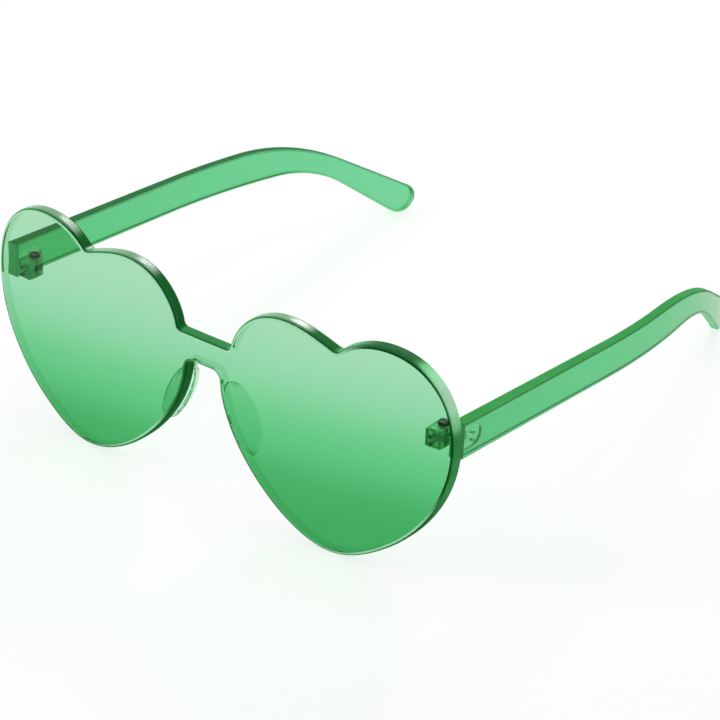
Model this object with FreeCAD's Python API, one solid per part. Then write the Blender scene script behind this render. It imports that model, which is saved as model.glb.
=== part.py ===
# Heart shaped sunglasses: one clear curved plate, two nose pads and two temples on screwed hinges.
# Sizes are in millimetres. Every piece is drawn in the plate's own frame, where the plate stands upright,
# its front faces -Y and its heart tips are at height zero. The whole is then stood on the floor, where it
# rests on the two heart tips and the two ear tips.
import FreeCAD, Part
import math
import os

Vector = FreeCAD.Vector
ORIGIN = Vector(0, 0, 0)
ACROSS = Vector(1, 0, 0)
BACK = Vector(0, 1, 0)
UP = Vector(0, 0, 1)

# Plate: two hearts joined by a bridge, bent on a cylinder with an upright axis
heart_width = 67.1
heart_height = 59.0
nose_gap = 10.0
bridge_top_height = 43.6
bridge_top_width = 16.2
bridge_web = 7.3
plate_thickness = 3.6
plate_radius = 600.0
plate_edge_radius = 1.0
cleft_radius = 1.8
bridge_corner_radius = 1.2
nose_corner_radius = 2.2

# Points of one heart as shares of its width from the nose gap and of its height from the tip
inner_lobe_shares = [(0.093, 0.858), (0.183, 0.941), (0.303, 0.968), (0.417, 0.943)]
cleft_share = (0.513, 0.905)
outer_lobe_shares = [(0.611, 0.978), (0.722, 1.0), (0.845, 0.969), (0.954, 0.858), (1.0, 0.660)]
outer_side_shares = [(0.969, 0.446), (0.873, 0.252), (0.709, 0.084), (0.519, 0.0)]
nose_side_shares = [(0.359, 0.045), (0.210, 0.162), (0.084, 0.328), (0.018, 0.484)]

# Temple: a flat bar that drops and turns in behind the ear
temple_inset = 0.5
temple_top_height = 43.7
temple_height = 9.15
temple_front_thickness = 3.4
temple_bend_thickness = 2.8
temple_tip_thickness = 2.4
temple_pitch = 2.0
temple_end_gap = 0.2
top_straight = 85.1
top_bend_radius = 73.2
top_bend_angle = 28.7
top_tail = 27.6
under_straight = 97.3
under_bend_radius = 41.2
under_bend_angle = 35.3
turn_in_straight = 59.6
turn_in_radius = 202.4
temple_edge_radius = 0.5

# Radius of the ear tip's two corners as a share of its end
tip_corner_share = 0.446

# Hinge: a block on the plate with two lugs, a leaf in the temple with one knuckle, and a screw
hinge_inset = 7.5
hinge_setback = 3.7
hinge_drop = 5.2
knuckle_radius = 2.0
knuckle_height = 1.7
lug_height = 1.4
lug_gap = 0.1
block_width = 4.2
block_base = 1.5
block_edge_radius = 0.3
leaf_thickness = 1.0
leaf_height = 5.6
leaf_front = 1.9
leaf_back = 6.0
leaf_pocket_gap = 0.05

# Screw
screw_radius = 0.7
screw_fit = 0.04
screw_head_radius = 1.35
screw_head_height = 0.9
screw_head_round = 0.25
screw_slot_width = 0.4
screw_slot_depth = 0.45
screw_end = 0.3

# Pins that hold the block to the plate and the leaf to the temple
pin_radius = 0.45
pin_spacing = 2.0
pin_in_plate = 1.6
pin_in_block = 1.0
pin_in_leaf = 0.7
pin_in_temple = 1.1
pin_fit = 0.02
leaf_pin_setback = 2.6

# Nose pads: half lenses on the back of the plate beside the nose gap
pad_length = 19.0
pad_depth = 4.8
pad_thickness = 6.2
pad_edge_inset = 1.8
pad_flare = 16.0

# How far a cutting shape runs past, how near two places count as one, and tries at the resting lean
overrun = 1.0
same_place = 0.02
lean_steps = 8

edge_x = nose_gap / 2 + heart_width
temple_x = edge_x - temple_inset
axis_x = edge_x - hinge_inset
hinge_height = temple_top_height - hinge_drop
bridge_under_height = bridge_top_height - bridge_web
back_radius = plate_radius - plate_thickness


def back_of_plate(x):
    """Depth of the plate's back face at a place across."""
    return plate_radius - math.sqrt(back_radius ** 2 - x ** 2)


axis_y = back_of_plate(axis_x) + hinge_setback
knuckle_low = hinge_height - knuckle_height / 2
upper_lug_low = hinge_height + knuckle_height / 2 + lug_gap
lower_lug_low = knuckle_low - lug_gap - lug_height


def heart_point(share):
    """Point of the left heart's outline from its shares."""
    return Vector(nose_gap / 2 + share[0] * heart_width, 0, share[1] * heart_height)


def line(start, end):
    return Part.LineSegment(start, end).toShape()


def smooth(points):
    """Smooth edge through points."""
    curve = Part.BSplineCurve()
    curve.interpolate(Points=points)
    return curve.toShape()


def mirrored(shape):
    """The same shape on the other side of the nose."""
    return shape.mirror(ORIGIN, ACROSS)


def prism(edges, along):
    """Solid of a flat closed outline carried along a vector."""
    outline = Part.Wire(Part.__sortEdges__(edges))
    return Part.Face(outline).extrude(along)


def drum(radius, low, high):
    """Upright solid cylinder on the axis that the plate is bent about."""
    return Part.makeCylinder(radius, high - low, Vector(0, plate_radius, low), UP)


def post(radius, low, high):
    """Upright solid cylinder on the left hinge axis."""
    return Part.makeCylinder(radius, high - low, Vector(axis_x, axis_y, low), UP)


def screw_hole(shape):
    """The shape with the screw's hole through it."""
    low = lower_lug_low - overrun
    high = upper_lug_low + lug_height + overrun
    return shape.cut(post(screw_radius + screw_fit, low, high))


def runs_along(edge, direction):
    """Whether an edge goes from end to end along a direction."""
    reach = edge.Vertexes[-1].Point - edge.Vertexes[0].Point
    return reach.Length > same_place and reach.cross(direction).Length < same_place


def edges_along(shape, direction, points):
    """Edges along a direction that pass through any of the points."""
    found = []
    for edge in shape.Edges:
        start = edge.Vertexes[0].Point
        near = any((start - point).cross(direction).Length < same_place for point in points)
        if near and runs_along(edge, direction):
            found.append(edge)
    return found


def plate_outline():
    """Closed outline of both hearts and the bridge, as edges."""
    corner = Vector(bridge_top_width / 2, 0, bridge_top_height)
    nose = Vector(nose_gap / 2, 0, bridge_under_height)
    cleft = heart_point(cleft_share)
    lobe = smooth([corner] + [heart_point(share) for share in inner_lobe_shares] + [cleft])
    around = outer_lobe_shares + outer_side_shares + nose_side_shares
    side = smooth([cleft] + [heart_point(share) for share in around] + [nose])
    half = [lobe, side]
    top = line(Vector(-corner.x, 0, corner.z), corner)
    under = line(nose, Vector(-nose.x, 0, nose.z))
    return half + [mirrored(edge) for edge in half] + [top, under]


def lens_plate():
    depth = back_of_plate(edge_x) + overrun
    blank = prism(plate_outline(), BACK * depth)
    rounds = (
        (cleft_radius, heart_point(cleft_share)),
        (bridge_corner_radius, Vector(bridge_top_width / 2, 0, bridge_top_height)),
        (nose_corner_radius, Vector(nose_gap / 2, 0, bridge_under_height)),
    )
    for radius, point in rounds:
        corners = [point, Vector(-point.x, 0, point.z)]
        blank = blank.makeFillet(radius, edges_along(blank, BACK, corners))
    low = -overrun
    high = heart_height + overrun
    shell = drum(plate_radius, low, high).cut(drum(back_radius, low, high))
    plate = blank.common(shell).Solids[0]
    rims = [edge for edge in plate.Edges if not runs_along(edge, BACK)]
    plate = plate.makeFillet(plate_edge_radius, rims)
    for place in block_pin_places():
        hole = block_pin(place, pin_fit)
        plate = plate.cut(hole).cut(mirrored(hole))
    return plate.Solids[0]


def block_pin_places():
    """Places across and up of the pins between block and plate."""
    return [(axis_x, hinge_height + side * pin_spacing / 2) for side in (-1, 1)]


def block_pin(place, fit=0.0):
    """Pin from inside the plate to inside the block, grown by a fit for its hole."""
    seat = back_of_plate(place[0])
    start = Vector(place[0], seat - pin_in_plate - fit, place[1])
    return Part.makeCylinder(pin_radius + fit, pin_in_plate + pin_in_block + 2 * fit, start, BACK)


def block_pins():
    return Part.makeCompound([block_pin(place) for place in block_pin_places()])


def lug(low):
    """One lug of the block round the hinge axis."""
    reach = Part.makeBox(
        2 * knuckle_radius,
        hinge_setback - block_base / 2,
        lug_height,
        Vector(axis_x - knuckle_radius, axis_y - hinge_setback + block_base / 2, low),
    )
    return reach.fuse(post(knuckle_radius, low, low + lug_height))


def hinge_block():
    low = lower_lug_low
    high = upper_lug_low + lug_height
    base = Part.makeBox(
        block_width,
        hinge_setback + block_base,
        high - low,
        Vector(axis_x - block_width / 2, axis_y - 2 * hinge_setback, low),
    )
    corners = [edge for edge in base.Edges if runs_along(edge, BACK)]
    base = base.makeFillet(block_edge_radius, corners)
    block = base.common(drum(back_radius, low - overrun, high + overrun))
    block = block.fuse(lug(lower_lug_low)).fuse(lug(upper_lug_low)).removeSplitter()
    block = screw_hole(block)
    for place in block_pin_places():
        block = block.cut(block_pin(place, pin_fit))
    return block.Solids[0]


def leaf_plate(gap=0.0, proud=0.0):
    """Flat part of the leaf with a round end behind, or its pocket when it is grown by a gap."""
    inner = temple_x - temple_front_thickness - proud
    half = leaf_height / 2 + gap
    front = axis_y - leaf_front - gap
    end = axis_y + leaf_back + gap
    corners = [(front, -half), (end - half, -half), (end - half, half), (front, half)]
    points = [Vector(inner, y, hinge_height + z) for y, z in corners]
    edges = [
        line(points[3], points[0]),
        line(points[0], points[1]),
        Part.Arc(points[1], Vector(inner, end, hinge_height), points[2]).toShape(),
        line(points[2], points[3]),
    ]
    return prism(edges, ACROSS * (leaf_thickness + gap + proud))


def leaf_pin_places():
    """Places back and up of the pins between leaf and temple."""
    return [(axis_y + leaf_pin_setback, hinge_height + side * pin_spacing / 2) for side in (-1, 1)]


def leaf_pin(place, fit=0.0):
    """Pin from inside the leaf to inside the temple, grown by a fit for its hole."""
    seat = temple_x - temple_front_thickness + leaf_thickness
    start = Vector(seat - pin_in_leaf - fit, place[0], place[1])
    return Part.makeCylinder(pin_radius + fit, pin_in_leaf + pin_in_temple + 2 * fit, start, ACROSS)


def leaf_pins():
    return Part.makeCompound([leaf_pin(place) for place in leaf_pin_places()])


def hinge_leaf():
    inner = temple_x - temple_front_thickness
    arm = Part.makeBox(
        inner - axis_x + leaf_thickness / 2,
        2 * knuckle_radius,
        knuckle_height,
        Vector(axis_x, axis_y - knuckle_radius, knuckle_low),
    )
    knuckle = post(knuckle_radius, knuckle_low, knuckle_low + knuckle_height)
    leaf = screw_hole(leaf_plate().fuse(arm).fuse(knuckle).removeSplitter())
    for place in leaf_pin_places():
        leaf = leaf.cut(leaf_pin(place, pin_fit))
    return leaf.Solids[0]


def hinge_screw():
    top = upper_lug_low + lug_height
    shank = post(screw_radius, lower_lug_low - screw_end, top + screw_head_height / 2)
    head = post(screw_head_radius, top, top + screw_head_height)
    rim = [edge for edge in head.Edges if edge.BoundBox.ZMin > top + screw_head_height / 2]
    head = head.makeFillet(screw_head_round, rim)
    slot = Part.makeBox(
        2 * screw_head_radius + overrun,
        screw_slot_width,
        screw_slot_depth + overrun,
        Vector(
            axis_x - screw_head_radius - overrun / 2,
            axis_y - screw_slot_width / 2,
            top + screw_head_height - screw_slot_depth,
        ),
    )
    return shank.fuse(head).cut(slot).Solids[0]


def turned(start, radius, angle, turn):
    """Middle, end and final heading of an arc that leaves start along +Y and bends towards turn."""
    places = []
    for part in (angle / 2, angle):
        bend = math.radians(part)
        places.append(start + BACK * radius * math.sin(bend) + turn * radius * (1 - math.cos(bend)))
    bend = math.radians(angle)
    heading = BACK * math.cos(bend) + turn * math.sin(bend)
    return places[0], places[1], heading


def temple_side():
    """Side view of the temple from its front upper corner, as a prism across."""
    down = UP * -1
    top_end = BACK * top_straight
    top_mid, top_out, top_heading = turned(top_end, top_bend_radius, top_bend_angle, down)
    top_tip = top_out + top_heading * top_tail
    under_start = down * temple_height
    under_end = under_start + BACK * under_straight
    under_mid, under_out, under_heading = turned(under_end, under_bend_radius, under_bend_angle, down)
    middle = (top_heading + under_heading).normalize()
    under_tip = under_out + under_heading * ((top_tip - under_out).dot(middle) / under_heading.dot(middle))
    edges = [
        line(ORIGIN, top_end),
        Part.Arc(top_end, top_mid, top_out).toShape(),
        line(top_out, top_tip),
        line(top_tip, under_tip),
        line(under_tip, under_out),
        Part.Arc(under_out, under_mid, under_end).toShape(),
        line(under_end, under_start),
        line(under_start, ORIGIN),
    ]
    width = 2 * turn_in_radius
    side = prism(edges, ACROSS * width)
    side.translate(ACROSS * -width / 2)
    corner_radius = tip_corner_share * (top_tip - under_tip).Length
    return side.makeFillet(corner_radius, edges_along(side, ACROSS, [top_tip, under_tip]))


def temple_plan():
    """Plan view of the temple from its front outer corner, as a prism up and down."""
    inward = ACROSS * -1
    length = top_straight + top_bend_radius + top_tail
    angle = math.degrees((length - turn_in_straight) / turn_in_radius)
    outer_end = BACK * turn_in_straight
    outer_mid, outer_out, heading = turned(outer_end, turn_in_radius, angle, inward)
    across = heading.cross(UP) * -1
    half = math.radians(angle / 2)
    half_across = inward * math.cos(half) - BACK * math.sin(half)
    middle_thickness = (temple_bend_thickness + temple_tip_thickness) / 2
    inner_start = inward * temple_front_thickness
    inner_end = outer_end + inward * temple_bend_thickness
    inner_mid = outer_mid + half_across * middle_thickness
    inner_out = outer_out + across * temple_tip_thickness
    edges = [
        line(ORIGIN, outer_end),
        Part.Arc(outer_end, outer_mid, outer_out).toShape(),
        line(outer_out, inner_out),
        Part.Arc(inner_out, inner_mid, inner_end).toShape(),
        line(inner_end, inner_start),
        line(inner_start, ORIGIN),
    ]
    tall = 2 * top_bend_radius
    plan = prism(edges, UP * tall)
    plan.translate(UP * -tall / 2)
    return plan


def temple():
    bar = temple_side().common(temple_plan()).Solids[0]
    bar = bar.makeFillet(temple_edge_radius, bar.Edges)
    bar.rotate(ORIGIN, ACROSS, -temple_pitch)
    tilt = temple_height * math.sin(math.radians(temple_pitch))
    front = back_of_plate(temple_x) + temple_end_gap + tilt
    bar.translate(Vector(temple_x, front, temple_top_height))
    bar = bar.cut(leaf_plate(leaf_pocket_gap, overrun))
    for place in leaf_pin_places():
        bar = bar.cut(leaf_pin(place, pin_fit))
    return bar.Solids[0]


def nose_pad():
    """Half lens beside the nose gap, its base on the plate's back face."""
    low = heart_point(nose_side_shares[2])
    high = heart_point(nose_side_shares[3])
    along = (high - low).normalize()
    outward = BACK.cross(along)
    centre = (low + high) / 2 + outward * pad_edge_inset
    stretch = FreeCAD.Matrix()
    stretch.scale(Vector(pad_thickness / 2, pad_depth, pad_length / 2))
    lens = Part.makeSphere(1).transformGeometry(stretch)
    lens.rotate(ORIGIN, UP, -pad_flare)
    lens.rotate(ORIGIN, BACK, math.degrees(math.atan2(along.x, along.z)))
    lens.translate(centre + BACK * back_of_plate(centre.x))
    return lens.common(drum(back_radius, -overrun, heart_height)).Solids[0]


def leaned(shape, lean):
    """A copy tipped back about the line under the plate."""
    copy = shape.copy()
    copy.rotate(ORIGIN, ACROSS, -lean)
    return copy


def lowest(shape, lean):
    """Lowest height of a leaned shape."""
    return leaned(shape, lean).optimalBoundingBox(False, False).ZMin


def resting_lean(plate, bar):
    """Lean at which heart tips and ear tips stand on one floor."""
    lean = 0.0
    reach = bar.optimalBoundingBox(False, False).YMax
    for step in range(lean_steps):
        lean += math.degrees(math.atan2(lowest(bar, lean) - lowest(plate, lean), reach))
    return lean


plate = lens_plate()
side_pieces = {
    "nose_pad": nose_pad(),
    "hinge_block": hinge_block(),
    "hinge_block_pins": block_pins(),
    "hinge_leaf": hinge_leaf(),
    "hinge_leaf_pins": leaf_pins(),
    "hinge_screw": hinge_screw(),
    "temple": temple(),
}
pieces = {"lens_plate": plate}
for name, shape in side_pieces.items():
    pieces[name + "_left"] = shape
    pieces[name + "_right"] = mirrored(shape)

lean = resting_lean(plate, side_pieces["temple"])
stood = {name: leaned(shape, lean) for name, shape in pieces.items()}
span = FreeCAD.BoundBox()
for shape in stood.values():
    span.add(shape.optimalBoundingBox(False, False))
shift = Vector(0, -(span.YMin + span.YMax) / 2, -span.ZMin)

os.makedirs("parts", exist_ok=True)
for name, shape in stood.items():
    shape.translate(shift)
    shape.exportStep("parts/" + name + ".step")
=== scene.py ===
# Heart shaped sunglasses of clear green plastic, standing open on a white floor.
# Lengths are in metres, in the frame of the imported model. Left and right are the wearer's, so left is +X.
import math
import bpy
from mathutils import Matrix, Vector

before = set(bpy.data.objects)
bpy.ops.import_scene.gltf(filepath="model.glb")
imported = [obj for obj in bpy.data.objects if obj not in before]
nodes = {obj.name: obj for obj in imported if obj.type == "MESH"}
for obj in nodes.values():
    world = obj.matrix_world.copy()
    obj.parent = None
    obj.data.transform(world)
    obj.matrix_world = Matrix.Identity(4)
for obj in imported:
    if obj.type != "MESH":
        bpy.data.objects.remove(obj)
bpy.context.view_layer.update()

# Camera: place, viewing angles in degrees, focal length on a 36 mm sensor and nearest distance seen
CAMERA_PLACE = (0.40762, -0.512236, 0.398111)
CAMERA_AZIMUTH = 39.272
CAMERA_ELEVATION = 31.082
CAMERA_ROLL = -0.851
CAMERA_LENS = 146.5
CAMERA_NEAR = 0.01

# Floor: half its width, its colour, and its share of plain white where seen, which grows to one far away
FLOOR_HALF = 30.0
FLOOR_COLOR = (0.97, 0.97, 0.97)
FLOOR_GLOW_SHARE = 0.72
FLOOR_AWAY = (0.4, 1.5)

# Strength of the light that the white room gives
WORLD_LIGHT = 0.3

# How the plate leans and bends, and where and how the temples turn in
PLATE_LEAN = math.radians(4.313)
PLATE_RADIUS = 0.6
TURN_FROM = -0.0085
TURN_RADIUS = 0.2024

# Refraction of the plastics and the bounces that light may make in them
LENS_IOR = 1.2
TEMPLE_IOR = 1.35
BLOCK_IOR = 1.25
LEAF_IOR = 1.1
PAD_IOR = 1.18
LIGHT_BOUNCES = 64

# Sockets of the Mix node for colours
MIX_SHARE, MIX_FIRST, MIX_SECOND, MIX_RESULT = 0, 6, 7, 2

# Edges by squareness, from where they are full to where the face begins, and how clear they are
EDGE_FACING = (0.99, 0.9985)
EDGE_CLEARNESS = 0.08

# Plain white
WHITE = (1.0, 1.0, 1.0)

# Smears on polished faces, wandering satin and cloudy edges: scales of noise per metre, and ranges
NOISE_DETAIL = 2.0
SMEAR_SCALE = 90.0
SMEAR_NOISE = (0.35, 0.75)
SMEAR_GAIN = 2.0
SATIN_SCALE = 300.0
SATIN_NOISE = (0.3, 0.7)
CLOUD_SCALE = 200.0
CLOUD_STOPS = ((0.3, (0.82, 0.9, 0.84)), (0.7, WHITE))

# Lens tint: shares of the way up, with a slight lean to one side
LENS_TILT = (-0.12, 0.0, 1.0)
LENS_ENDS = (0.004, 0.056)
LENS_STOPS = (
    (0.0, (0.068, 0.441, 0.141)),
    (0.15, (0.081, 0.478, 0.164)),
    (0.31, (0.142, 0.588, 0.254)),
    (0.46, (0.208, 0.658, 0.326)),
    (0.62, (0.340, 0.718, 0.450)),
    (0.77, (0.432, 0.755, 0.527)),
    (1.0, (0.516, 0.785, 0.570)),
)
# What deepens the lens tint on edges seen from inside the plastic
LENS_INSIDE = (0.6, 0.8, 0.66)

# Lens edge: colours by where it looks, from -X and a little down at nought to +X and a little up at one,
# with painted shade deepening towards +X and up
EDGE_TURN = (1.0, 0.0, 0.3)
EDGE_TURN_ENDS = (-1.0, 1.0)
LENS_EDGE_PAINTED_SHADE = (
    (0.62, (0.055, 0.28, 0.09)),
    (0.68, (0.04, 0.23, 0.07)),
    (0.78, (0.014, 0.15, 0.034)),
)
# Where it looks to -X or down it has painted shade at the foot and painted light higher up.
ASIDE_LOOK = (0.37, 0.60)
ASIDE_HEIGHT = (0.029, 0.036)
ASIDE_PAINTED_LIGHT = ((0.0, (0.03, 0.2, 0.06)), (1.0, (0.2, 0.55, 0.28)))
# Painted lines along the lens edge, by squareness: a dark one of painted shade, and a painted highlight
# beside the face
PAINTED_SHADE_TINT = (0.14, 0.5, 0.22)
PAINTED_SHADE_LINE = ((0.5, WHITE), (0.58, PAINTED_SHADE_TINT), (0.72, PAINTED_SHADE_TINT), (0.8, WHITE))
PAINTED_HIGHLIGHT = (0.48, 0.94, 0.61)
HIGHLIGHT_FACING = (0.81, 0.89)
# The upper part of the nose gap has no painted highlight line.
NOSE_PLACE = (0.010, 0.016)
NOSE_HEIGHT = (0.037, 0.041)
# The outer lobe of the left heart has a green edge with painted light, paler where it looks out.
# Its painted shade line is beside the face, and it has no painted highlight line.
OUTER_LOOK_PAINTED_LIGHT = ((0.0, (0.026, 0.143, 0.043)), (1.0, (0.055, 0.32, 0.093)))
OUTER_PALE_PAINTED_LIGHT = (
    (0.15, (0.16, 0.64, 0.22)),
    (0.6, (0.40, 0.95, 0.50)),
    (0.9, (0.52, 0.95, 0.62)),
    (1.0, (0.57, 0.88, 0.62)),
)
OUTER_CHANGE = (0.0, 0.3)
OUTER_PAINTED_SHADE_LINE = ((0.78, WHITE), (0.88, PAINTED_SHADE_TINT))
OUTER_PLACE = (0.038, 0.048)
OUTER_FOOT = (0.014, 0.028)
OUTER_HEIGHT = (0.040, 0.050)
OUTER_LOOK = (0.27, 0.83)
# Gloss on the tops of the lobes, by where they look, how far left they are and how high
COAT_IOR = 1.8
COAT_ROUGHNESS = 0.3
COAT_LOOK = (0.82, 0.92)
COAT_PLACE = (0.028, 0.033)
COAT_HEIGHT = (0.046, 0.05)

# Temple sides, and edges seen from inside the plastic
SIDE_SCALE = 40.0
SIDE_STOPS = ((0.3, (0.89, 0.97, 0.895)), (0.7, (0.91, 0.98, 0.915)))
TEMPLE_INSIDE = (0.35, 0.75, 0.45)
# Temple edges: the tops from right to left, with painted light on the left temple's top, the rounding from
# inner to outer side, painted light on the rounding below, and the ends
TOP_PLACE = (-0.01, 0.01)
TOP_PAINTED_LIGHT = ((0.0, (0.032, 0.19, 0.06)), (1.0, (0.056, 0.37, 0.095)))
ROUND_FACING = (0.4, 0.75)
ROUND_LOOK = (-0.2, 0.2)
ROUND_STOPS = ((0.0, (0.19, 0.64, 0.31)), (1.0, (0.08, 0.38, 0.12)))
LOWER_LOOK = (-0.3, 0.1)
LOWER_ROUND_PAINTED_LIGHT = (0.3, 0.75, 0.42)
END_LOOK = (0.7, 0.95)
TEMPLE_END = (0.2, 0.55, 0.28)
# Frost within the ear tips
TIP_PLACE = (0.067, 0.071)
TIP_FROST = 0.4

# Nose pads: deeper green ends, and a milky side towards the nose
PAD_SCALE = 120.0
PAD_STOPS = ((0.2, (0.80, 0.95, 0.86)), (0.8, (0.90, 0.98, 0.93)))
PAD_END_LOOK = (0.7, 0.95)
PAD_END = (0.2, 0.6, 0.3)
PAD_INNER_LOOK = (-0.8, -0.4)
PAD_CLEAR, PAD_MILKY = 0.95, 0.6

# Hinge blocks, and hinge leaves with a knuckle darkened as painted shade and a pale plate further out
HINGE_SCALE = 400.0
BLOCK_STOPS = ((0.25, (0.18, 0.64, 0.30)), (0.75, (0.32, 0.74, 0.42)))
KNUCKLE_PAINTED_SHADE = (0.03, 0.22, 0.08)
LEAF_PLACE = (0.0660, 0.0684)
LEAF_STOPS = ((0.0, KNUCKLE_PAINTED_SHADE), (0.6, KNUCKLE_PAINTED_SHADE), (1.0, (0.92, 1.0, 0.94)))
LEAF_CLOUD = ((0.25, (0.9, 0.96, 0.92)), (0.75, WHITE))

# Turning marks on the steel
MARK_SCALE = 2500.0
MARK_NOISE = (0.3, 0.7)
MARK_ROUGHNESS = (0.3, 0.45)


def camera_turn(azimuth, elevation, roll):
    """Rotation of a camera at these angles, in degrees."""
    a, e, r = (math.radians(angle) for angle in (azimuth, elevation, roll))
    back = Vector((math.sin(a) * math.cos(e), -math.cos(a) * math.cos(e), math.sin(e)))
    level = Vector((math.cos(a), math.sin(a), 0.0))
    right = level * math.cos(r) + back.cross(level) * math.sin(r)
    up = back.cross(right)
    return Matrix((right, up, back)).transposed().to_4x4()


def link_camera():
    """The camera at the photograph's place."""
    data = bpy.data.cameras.new("camera")
    data.lens = CAMERA_LENS
    data.clip_start = CAMERA_NEAR
    camera = bpy.data.objects.new("camera", data)
    turn = camera_turn(CAMERA_AZIMUTH, CAMERA_ELEVATION, CAMERA_ROLL)
    camera.matrix_world = Matrix.Translation(CAMERA_PLACE) @ turn
    bpy.context.scene.collection.objects.link(camera)
    bpy.context.scene.camera = camera


def new_material(name):
    """An empty node material and its tree."""
    material = bpy.data.materials.new(name)
    material.use_nodes = True
    material.node_tree.nodes.clear()
    return material, material.node_tree


def give(tree, value, socket):
    """Links a socket to an input, or sets the input to a number."""
    if isinstance(value, float):
        socket.default_value = value
    else:
        tree.links.new(value, socket)


def math_node(tree, operation, first, second=0.0):
    """Output of a math node on two sockets or numbers."""
    node = tree.nodes.new("ShaderNodeMath")
    node.operation = operation
    give(tree, first, node.inputs[0])
    give(tree, second, node.inputs[1])
    return node.outputs["Value"]


def product(tree, first, *others):
    """Product of sockets or numbers."""
    for other in others:
        first = math_node(tree, "MULTIPLY", first, other)
    return first


def opposite(tree, share):
    """What a share leaves of one."""
    return math_node(tree, "SUBTRACT", 1.0, share)


def coordinates(tree, kind):
    """Place ("Object") or normal ("Normal") in the object's own frame."""
    return tree.nodes.new("ShaderNodeTexCoord").outputs[kind]


def parts_of(tree, kind):
    """The X, Y and Z of a place or normal in the object's own frame."""
    split = tree.nodes.new("ShaderNodeSeparateXYZ")
    tree.links.new(coordinates(tree, kind), split.inputs["Vector"])
    return split.outputs["X"], split.outputs["Y"], split.outputs["Z"]


def vector_node(tree, operation, first):
    """A vector math node with its first input linked."""
    node = tree.nodes.new("ShaderNodeVectorMath")
    node.operation = operation
    tree.links.new(first, node.inputs[0])
    return node


def spread(tree, value, ends, low=0.0, high=1.0):
    """A value carried smoothly from between two ends to between low and high."""
    node = tree.nodes.new("ShaderNodeMapRange")
    node.interpolation_type = "SMOOTHSTEP"
    node.inputs["From Min"].default_value, node.inputs["From Max"].default_value = ends
    node.inputs["To Min"].default_value = low
    node.inputs["To Max"].default_value = high
    tree.links.new(value, node.inputs["Value"])
    return node.outputs["Result"]


def place_along(tree, direction, ends, kind="Object"):
    """Share of the way between two ends along a direction of the object, of a place or a normal."""
    along = vector_node(tree, "DOT_PRODUCT", coordinates(tree, kind))
    along.inputs[1].default_value = direction
    span = tree.nodes.new("ShaderNodeMapRange")
    span.inputs["From Min"].default_value, span.inputs["From Max"].default_value = ends
    tree.links.new(along.outputs["Value"], span.inputs["Value"])
    return span.outputs["Result"]


def noise(tree, scale):
    """Noise over the object at a scale per metre."""
    texture = tree.nodes.new("ShaderNodeTexNoise")
    texture.inputs["Scale"].default_value = scale
    texture.inputs["Detail"].default_value = NOISE_DETAIL
    tree.links.new(coordinates(tree, "Object"), texture.inputs["Vector"])
    return texture.outputs["Fac"]


def ramp_color(tree, value, stops):
    """Colour of a ramp through stops of share and colour."""
    ramp = tree.nodes.new("ShaderNodeValToRGB")
    elements = ramp.color_ramp.elements
    elements[0].position, elements[-1].position = stops[0][0], stops[-1][0]
    elements[0].color = (*stops[0][1], 1.0)
    elements[-1].color = (*stops[-1][1], 1.0)
    for share, color in stops[1:-1]:
        elements.new(share).color = (*color, 1.0)
    tree.links.new(value, ramp.inputs["Fac"])
    return ramp.outputs["Color"]


def mixed_color(tree, share, first, second, blend="MIX"):
    """The first colour where the share is nought, the second or the two blended where it is one."""
    mix = tree.nodes.new("ShaderNodeMix")
    mix.data_type = "RGBA"
    mix.blend_type = blend
    give(tree, share, mix.inputs[MIX_SHARE])
    tree.links.new(first, mix.inputs[MIX_FIRST])
    if isinstance(second, tuple):
        mix.inputs[MIX_SECOND].default_value = (*second, 1.0)
    else:
        tree.links.new(second, mix.inputs[MIX_SECOND])
    return mix.outputs[MIX_RESULT]


def squareness(tree, x, y, z):
    """How squarely a place looks along a direction: one along it either way, nought across it."""
    direction = tree.nodes.new("ShaderNodeCombineXYZ")
    for value, socket in zip((x, y, z), direction.inputs):
        give(tree, value, socket)
    unit = vector_node(tree, "NORMALIZE", direction.outputs["Vector"])
    dot = vector_node(tree, "DOT_PRODUCT", unit.outputs["Vector"])
    tree.links.new(coordinates(tree, "Normal"), dot.inputs[1])
    return math_node(tree, "ABSOLUTE", dot.outputs["Value"])


def lens_facing(tree):
    """Squareness to the plate, which is bent and leans back."""
    across = math_node(tree, "DIVIDE", parts_of(tree, "Object")[0], PLATE_RADIUS)
    return squareness(tree, across, -math.cos(PLATE_LEAN), math.sin(PLATE_LEAN))


def temple_facing(tree):
    """Squareness to the temple's flat sides, which turn in towards the ear tip."""
    x, y, _ = parts_of(tree, "Object")
    along = math_node(tree, "SUBTRACT", y, TURN_FROM)
    turn = math_node(tree, "MAXIMUM", math_node(tree, "DIVIDE", along, TURN_RADIUS), 0.0)
    return squareness(tree, 1.0, product(tree, turn, math_node(tree, "SIGN", x)), 0.0)


def outward_look(tree):
    """How far a place looks away from the middle: one straight out, minus one straight in."""
    side = math_node(tree, "SIGN", parts_of(tree, "Object")[0])
    return product(tree, parts_of(tree, "Normal")[0], side)


def edge_shares(tree, facing):
    """Shares of the outside and the inside of the edges and their rounding, both nought on the faces."""
    edge = spread(tree, facing, EDGE_FACING, 1.0, 0.0)
    side = tree.nodes.new("ShaderNodeNewGeometry")
    inside = product(tree, edge, side.outputs["Backfacing"])
    return math_node(tree, "SUBTRACT", edge, inside), inside


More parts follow.
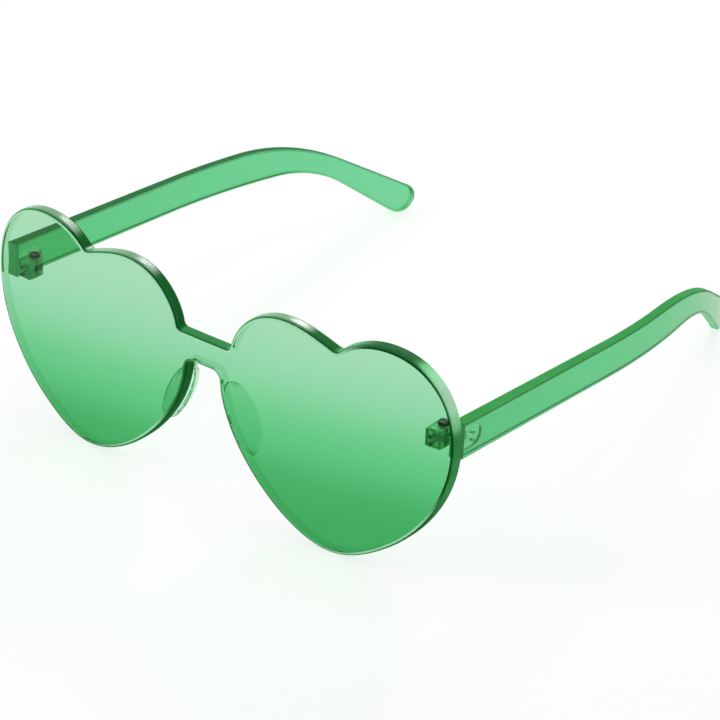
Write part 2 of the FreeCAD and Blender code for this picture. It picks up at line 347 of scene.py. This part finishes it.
def clear_plastic(name, ior, color, rough, clearness, shade, absorbed, density):
    """Clear plastic that absorbs inside and lets tinted light through to the floor.

    color, rough and clearness take the tree and give a socket. clearness may be a number."""
    material, tree = new_material(name)
    shader = tree.nodes.new("ShaderNodeBsdfPrincipled")
    shader.inputs["IOR"].default_value = ior
    shader.inputs["Specular IOR Level"].default_value = 0.0
    give(tree, color(tree), shader.inputs["Base Color"])
    give(tree, rough(tree), shader.inputs["Roughness"])
    clear = clearness if isinstance(clearness, float) else clearness(tree)
    give(tree, clear, shader.inputs["Transmission Weight"])
    path = tree.nodes.new("ShaderNodeLightPath")
    passing = tree.nodes.new("ShaderNodeBsdfTransparent")
    passing.inputs["Color"].default_value = (*shade, 1.0)
    mix = tree.nodes.new("ShaderNodeMixShader")
    tree.links.new(path.outputs["Is Shadow Ray"], mix.inputs["Fac"])
    tree.links.new(shader.outputs["BSDF"], mix.inputs[1])
    tree.links.new(passing.outputs["BSDF"], mix.inputs[2])
    inside = tree.nodes.new("ShaderNodeVolumeAbsorption")
    inside.inputs["Color"].default_value = (*absorbed, 1.0)
    inside.inputs["Density"].default_value = density
    output = tree.nodes.new("ShaderNodeOutputMaterial")
    tree.links.new(mix.outputs["Shader"], output.inputs["Surface"])
    tree.links.new(inside.outputs["Volume"], output.inputs["Volume"])
    return material


def polish(facing, face, edge):
    """Roughness of a polished piece.

    Its faces are smooth with faint smears, its edges are duller, and its ear tips are frosted within."""
    def rough(tree):
        smears = spread(tree, noise(tree, SMEAR_SCALE), SMEAR_NOISE, face, SMEAR_GAIN * face)
        outside, inside = edge_shares(tree, facing(tree))
        frost = spread(tree, parts_of(tree, "Object")[1], TIP_PLACE, 0.0, TIP_FROST)
        dull = math_node(tree, "ADD", product(tree, outside, edge), product(tree, inside, frost))
        return math_node(tree, "ADD", smears, dull)
    return rough


def satin(low, high):
    """Roughness that wanders between two values."""
    def rough(tree):
        return spread(tree, noise(tree, SATIN_SCALE), SATIN_NOISE, low, high)
    return rough


def edge_clearness(facing):
    """Clear faces and nearly solid edges."""
    def clearness(tree):
        outside = edge_shares(tree, facing(tree))[0]
        return spread(tree, outside, (0.0, 1.0), 1.0, EDGE_CLEARNESS)
    return clearness


def clouded(tree, color):
    """A colour with a little cloudiness along the edge."""
    cloud = ramp_color(tree, noise(tree, CLOUD_SCALE), CLOUD_STOPS)
    return mixed_color(tree, 1.0, color, cloud, "MULTIPLY")


def outer_shares(tree):
    """Shares of the left heart's outer lobe, of how far its edge looks out, and of its part with pale
    painted light.
    """
    x, _, z = parts_of(tree, "Object")
    place = product(tree, spread(tree, x, OUTER_PLACE), spread(tree, z, OUTER_FOOT))
    look = spread(tree, parts_of(tree, "Normal")[0], OUTER_LOOK)
    pale = product(tree, place, spread(tree, z, OUTER_HEIGHT), look)
    return place, look, pale


def nose_share(tree):
    """Share of the upper part of the nose gap."""
    x, _, z = parts_of(tree, "Object")
    near = spread(tree, math_node(tree, "ABSOLUTE", x), NOSE_PLACE, 1.0, 0.0)
    return product(tree, near, spread(tree, z, NOSE_HEIGHT, 1.0, 0.0))


def lens_color(tree):
    """Tint that deepens towards the heart tips, with painted light and shade on the edge by where it looks,
    and a painted highlight line and a painted shade line round the edge.
    """
    facing = lens_facing(tree)
    tint = ramp_color(tree, place_along(tree, LENS_TILT, LENS_ENDS), LENS_STOPS)
    looking = place_along(tree, EDGE_TURN, EDGE_TURN_ENDS, "Normal")
    aside = spread(tree, looking, ASIDE_LOOK, 1.0, 0.0)
    height = spread(tree, parts_of(tree, "Object")[2], ASIDE_HEIGHT)
    place, look, pale = outer_shares(tree)
    # Painted light on the outer lobe's edge, greener and lighter where it looks out
    outer_green_painted_light = ramp_color(tree, look, OUTER_LOOK_PAINTED_LIGHT)
    # Painted shade on the lens edge, deeper where it looks to +X and up
    edge_painted_shade = mixed_color(tree, place, ramp_color(tree, looking, LENS_EDGE_PAINTED_SHADE), outer_green_painted_light)
    # Painted light higher up and painted shade at the foot where the edge looks to -X or down, with a
    # little real cloudiness
    cloudy_painted_light = clouded(tree, mixed_color(tree, aside, edge_painted_shade, ramp_color(tree, height, ASIDE_PAINTED_LIGHT)))
    # Pale painted light on the outer lobe where it looks out
    outer_pale_paint = ramp_color(tree, pale, OUTER_PALE_PAINTED_LIGHT)
    band = mixed_color(tree, spread(tree, pale, OUTER_CHANGE), cloudy_painted_light, outer_pale_paint)
    # Painted shade lines along the edge beside the face
    painted_shade_lines = [ramp_color(tree, facing, stops) for stops in (PAINTED_SHADE_LINE, OUTER_PAINTED_SHADE_LINE)]
    dark = mixed_color(tree, place, *painted_shade_lines)
    lined = mixed_color(tree, 1.0, band, dark, "MULTIPLY")
    # Painted highlight line beside the face, left out on the outer lobe, at the foot and in the upper nose
    # gap
    line = spread(tree, facing, HIGHLIGHT_FACING)
    foot = product(tree, aside, opposite(tree, height))
    for share in (place, foot, nose_share(tree)):
        line = product(tree, line, opposite(tree, share))
    edge = mixed_color(tree, line, lined, PAINTED_HIGHLIGHT)
    outside, inside = edge_shares(tree, facing)
    within = mixed_color(tree, inside, tint, LENS_INSIDE, "MULTIPLY")
    return mixed_color(tree, outside, within, edge)


def temple_color(tree):
    """Nearly clear sides, green edges with painted light on the left temple's top and on the rounding
    below, and lighter ends.
    """
    facing = temple_facing(tree)
    side = ramp_color(tree, noise(tree, SIDE_SCALE), SIDE_STOPS)
    _, lengthwise, up = parts_of(tree, "Normal")
    # Painted light: the left temple's top lighter than the right one's
    top = ramp_color(tree, spread(tree, parts_of(tree, "Object")[0], TOP_PLACE), TOP_PAINTED_LIGHT)
    rounding = ramp_color(tree, spread(tree, outward_look(tree), ROUND_LOOK), ROUND_STOPS)
    level = mixed_color(tree, spread(tree, facing, ROUND_FACING), top, rounding)
    # Painted light on the rounding that looks down
    long_edge = mixed_color(tree, spread(tree, up, LOWER_LOOK, 1.0, 0.0), level, LOWER_ROUND_PAINTED_LIGHT)
    end = spread(tree, math_node(tree, "ABSOLUTE", lengthwise), END_LOOK)
    edge = mixed_color(tree, end, clouded(tree, long_edge), TEMPLE_END)
    outside, inside = edge_shares(tree, facing)
    return mixed_color(tree, outside, mixed_color(tree, inside, side, TEMPLE_INSIDE), edge)


def pad_color(tree):
    """Nearly clear, with deeper green ends."""
    end = spread(tree, math_node(tree, "ABSOLUTE", parts_of(tree, "Normal")[2]), PAD_END_LOOK)
    return mixed_color(tree, end, ramp_color(tree, noise(tree, PAD_SCALE), PAD_STOPS), PAD_END)


def pad_clearness(tree):
    """Clear, and milky on the side that the nose rests on."""
    return spread(tree, outward_look(tree), PAD_INNER_LOOK, PAD_MILKY, PAD_CLEAR)


def block_color(tree):
    """Wandering green."""
    return ramp_color(tree, noise(tree, HINGE_SCALE), BLOCK_STOPS)


def leaf_color(tree):
    """Knuckle darkened as painted shade, and a pale plate where the leaf lies in the temple."""
    across = math_node(tree, "ABSOLUTE", parts_of(tree, "Object")[0])
    # Painted shade on the knuckle, pale plate further out
    base = ramp_color(tree, spread(tree, across, LEAF_PLACE), LEAF_STOPS)
    cloud = ramp_color(tree, noise(tree, HINGE_SCALE), LEAF_CLOUD)
    return mixed_color(tree, 1.0, base, cloud, "MULTIPLY")


def turned_metal(name, dark, bright):
    """Steel with fine turning marks between two greys."""
    material, tree = new_material(name)
    shader = tree.nodes.new("ShaderNodeBsdfPrincipled")
    shader.inputs["Metallic"].default_value = 1.0
    marks = noise(tree, MARK_SCALE)
    colors = [(share, (grey, grey, grey)) for share, grey in zip(MARK_NOISE, (dark, bright))]
    tree.links.new(ramp_color(tree, marks, colors), shader.inputs["Base Color"])
    tree.links.new(spread(tree, marks, MARK_NOISE, *MARK_ROUGHNESS), shader.inputs["Roughness"])
    output = tree.nodes.new("ShaderNodeOutputMaterial")
    tree.links.new(shader.outputs["BSDF"], output.inputs["Surface"])
    return material


def coat_edges(material, facing):
    """A clear gloss on the tops of the lobes, apart from the left heart's outer lobe."""
    tree = material.node_tree
    shader = next(node for node in tree.nodes if node.type == "BSDF_PRINCIPLED")
    x, _, z = parts_of(tree, "Object")
    gloss = product(
        tree,
        edge_shares(tree, facing(tree))[0],
        spread(tree, parts_of(tree, "Normal")[2], COAT_LOOK),
        spread(tree, x, COAT_PLACE, 1.0, 0.0),
        spread(tree, z, COAT_HEIGHT),
    )
    tree.links.new(gloss, shader.inputs["Coat Weight"])
    shader.inputs["Coat Roughness"].default_value = COAT_ROUGHNESS
    shader.inputs["Coat IOR"].default_value = COAT_IOR


def paint(material, names):
    """Puts one material on CAD nodes."""
    for name in names:
        mesh = nodes[name].data
        mesh.materials.clear()
        mesh.materials.append(material)


def both(name):
    """The names of a left and a right node."""
    return [name + "_left", name + "_right"]


def seen_share(tree):
    """One where the camera looks, straight, mirrored or through the plastic."""
    path = tree.nodes.new("ShaderNodeLightPath")
    seen = path.outputs["Is Camera Ray"]
    for kind in ("Is Glossy Ray", "Is Transmission Ray"):
        seen = math_node(tree, "MAXIMUM", seen, path.outputs[kind])
    return seen


def link_floor():
    """White paper that keeps the object's shadow."""
    mesh = bpy.data.meshes.new("floor")
    corners = [(-1, -1), (1, -1), (1, 1), (-1, 1)]
    mesh.from_pydata([(x * FLOOR_HALF, y * FLOOR_HALF, 0.0) for x, y in corners], [], [(0, 1, 2, 3)])
    floor = bpy.data.objects.new("floor", mesh)
    bpy.context.scene.collection.objects.link(floor)
    material, tree = new_material("floor_paper")
    paper = tree.nodes.new("ShaderNodeBsdfDiffuse")
    paper.inputs["Color"].default_value = (*FLOOR_COLOR, 1.0)
    glow = tree.nodes.new("ShaderNodeEmission")
    mix = tree.nodes.new("ShaderNodeMixShader")
    output = tree.nodes.new("ShaderNodeOutputMaterial")
    away = vector_node(tree, "LENGTH", coordinates(tree, "Object"))
    share = spread(tree, away.outputs["Value"], FLOOR_AWAY, FLOOR_GLOW_SHARE, 1.0)
    tree.links.new(product(tree, seen_share(tree), share), mix.inputs["Fac"])
    tree.links.new(paper.outputs["BSDF"], mix.inputs[1])
    tree.links.new(glow.outputs["Emission"], mix.inputs[2])
    tree.links.new(mix.outputs["Shader"], output.inputs["Surface"])
    mesh.materials.append(material)


def link_lamp(name, towards, distance, width, height, radiance):
    """Soft rectangular lamp in a direction from the object, facing it."""
    data = bpy.data.lights.new(name, "AREA")
    data.shape = "RECTANGLE"
    data.size = width
    data.size_y = height
    data.energy = radiance * math.pi * width * height
    lamp = bpy.data.objects.new(name, data)
    away = Vector(towards).normalized()
    turn = away.to_track_quat("Z", "Y").to_matrix().to_4x4()
    lamp.matrix_world = Matrix.Translation(away * distance) @ turn
    lamp.visible_transmission = False
    bpy.context.scene.collection.objects.link(lamp)


def set_world(strength):
    """A white room, dimmer for the light that it gives than where it is seen or mirrored."""
    world = bpy.data.worlds.new("studio")
    world.use_nodes = True
    tree = world.node_tree
    background = tree.nodes["Background"]
    background.inputs["Color"].default_value = (*WHITE, 1.0)
    tree.links.new(spread(tree, seen_share(tree), (0.0, 1.0), strength, 1.0), background.inputs["Strength"])
    bpy.context.scene.world = world


# Materials
lens = clear_plastic(
    "lens_plastic", LENS_IOR, lens_color,
    rough=polish(lens_facing, face=0.01, edge=0.25), clearness=edge_clearness(lens_facing),
    shade=(0.45, 0.8, 0.6), absorbed=(0.2, 0.78, 0.45), density=75.0)
coat_edges(lens, lens_facing)
temple = clear_plastic(
    "temple_plastic", TEMPLE_IOR, temple_color,
    rough=polish(temple_facing, face=0.008, edge=0.04), clearness=edge_clearness(temple_facing),
    shade=(0.65, 0.9, 0.76), absorbed=(0.1, 0.78, 0.43), density=655.0)
pad = clear_plastic(
    "pad_plastic", PAD_IOR, pad_color,
    rough=satin(0.02, 0.06), clearness=pad_clearness,
    shade=(0.8, 0.95, 0.86), absorbed=(0.3, 0.9, 0.6), density=30.0)
block = clear_plastic(
    "block_plastic", BLOCK_IOR, block_color,
    rough=satin(0.06, 0.15), clearness=0.75,
    shade=(0.4, 0.75, 0.5), absorbed=(0.1, 0.75, 0.35), density=60.0)
leaf = clear_plastic(
    "leaf_plastic", LEAF_IOR, leaf_color,
    rough=satin(0.06, 0.15), clearness=0.92,
    shade=(0.8, 0.95, 0.86), absorbed=(0.3, 0.9, 0.6), density=30.0)
dark_steel = turned_metal("dark_steel", dark=0.012, bright=0.07)
bright_steel = turned_metal("bright_steel", dark=0.6, bright=0.8)
paint(lens, ["lens_plate"])
paint(temple, both("temple"))
paint(pad, both("nose_pad"))
paint(block, both("hinge_block"))
paint(leaf, both("hinge_leaf"))
paint(dark_steel, both("hinge_screw") + both("hinge_block_pins"))
paint(bright_steel, both("hinge_leaf_pins"))

# Floor, light and camera
link_floor()
link_lamp("front_lamp", towards=(-0.54, -0.50, 0.63), distance=1.0, width=0.4, height=0.2, radiance=9.0)
link_lamp("back_lamp", towards=(-0.29, 0.755, 0.588), distance=1.2, width=0.5, height=0.28, radiance=14.0)
link_lamp("top_lamp", towards=(0.1, 0.1, 1.0), distance=1.5, width=1.2, height=1.2, radiance=2.0)
set_world(WORLD_LIGHT)
link_camera()
scene = bpy.context.scene
scene.view_settings.view_transform = "Standard"
scene.cycles.max_bounces = LIGHT_BOUNCES
scene.cycles.glossy_bounces = LIGHT_BOUNCES
scene.cycles.transmission_bounces = LIGHT_BOUNCES
